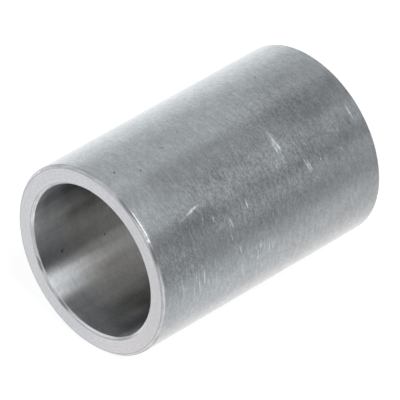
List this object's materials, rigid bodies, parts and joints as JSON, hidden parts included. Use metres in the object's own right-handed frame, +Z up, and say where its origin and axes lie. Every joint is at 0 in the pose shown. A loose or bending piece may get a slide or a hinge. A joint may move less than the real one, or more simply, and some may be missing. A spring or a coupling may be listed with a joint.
{
  "type": "rigid sleeve coupling",
  "caption": "Plain steel sleeve with a straight through bore and chamfered rims, slid over the ends of two shafts to hold them in line.",
  "frame": {"origin": "centre of the bore, half way along the sleeve", "axes": "+Y along the bore, +Z up, +X to the right; the sleeve lies on its side and is the same at both ends"},
  "size_m": [0.04, 0.059, 0.04],
  "materials": {
    "steel": "satin ground outside and bore with fine marks around the axis, matte faced ends"
  },
  "bodies": {
    "root": {"coupling_sleeve": "steel"}
  },
  "joints": []
}
